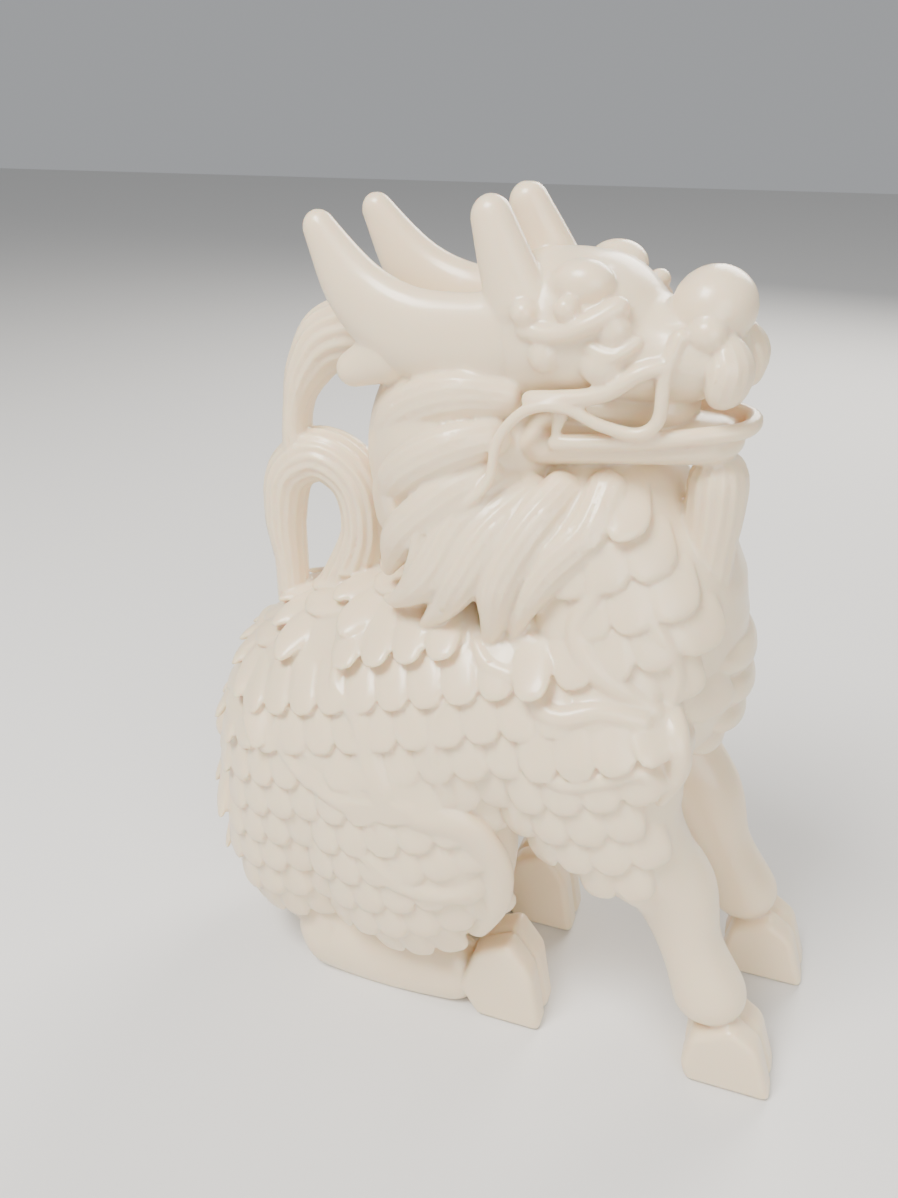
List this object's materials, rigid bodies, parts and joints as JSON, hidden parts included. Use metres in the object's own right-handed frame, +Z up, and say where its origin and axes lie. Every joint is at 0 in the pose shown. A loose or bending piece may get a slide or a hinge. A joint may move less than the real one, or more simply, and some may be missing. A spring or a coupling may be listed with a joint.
{
  "type": "qilin figurine",
  "caption": "Seated scaled qilin figurine with swept horns, a looped tail, a long chin beard and flame curls, an ivory-coloured resin table ornament that rests on its own hooves",
  "frame": {"origin": "middle of the bounding box in plan, on the surface that the hooves and hocks stand on", "axes": "+X the way the body faces, +Y to its left, +Z up"},
  "size_m": [0.0996, 0.0454, 0.1205],
  "materials": {
    "ivory_resin": "satin, cast in an ivory colour"
  },
  "bodies": {
    "root": {"qilin_figurine": "ivory_resin"}
  },
  "joints": []
}
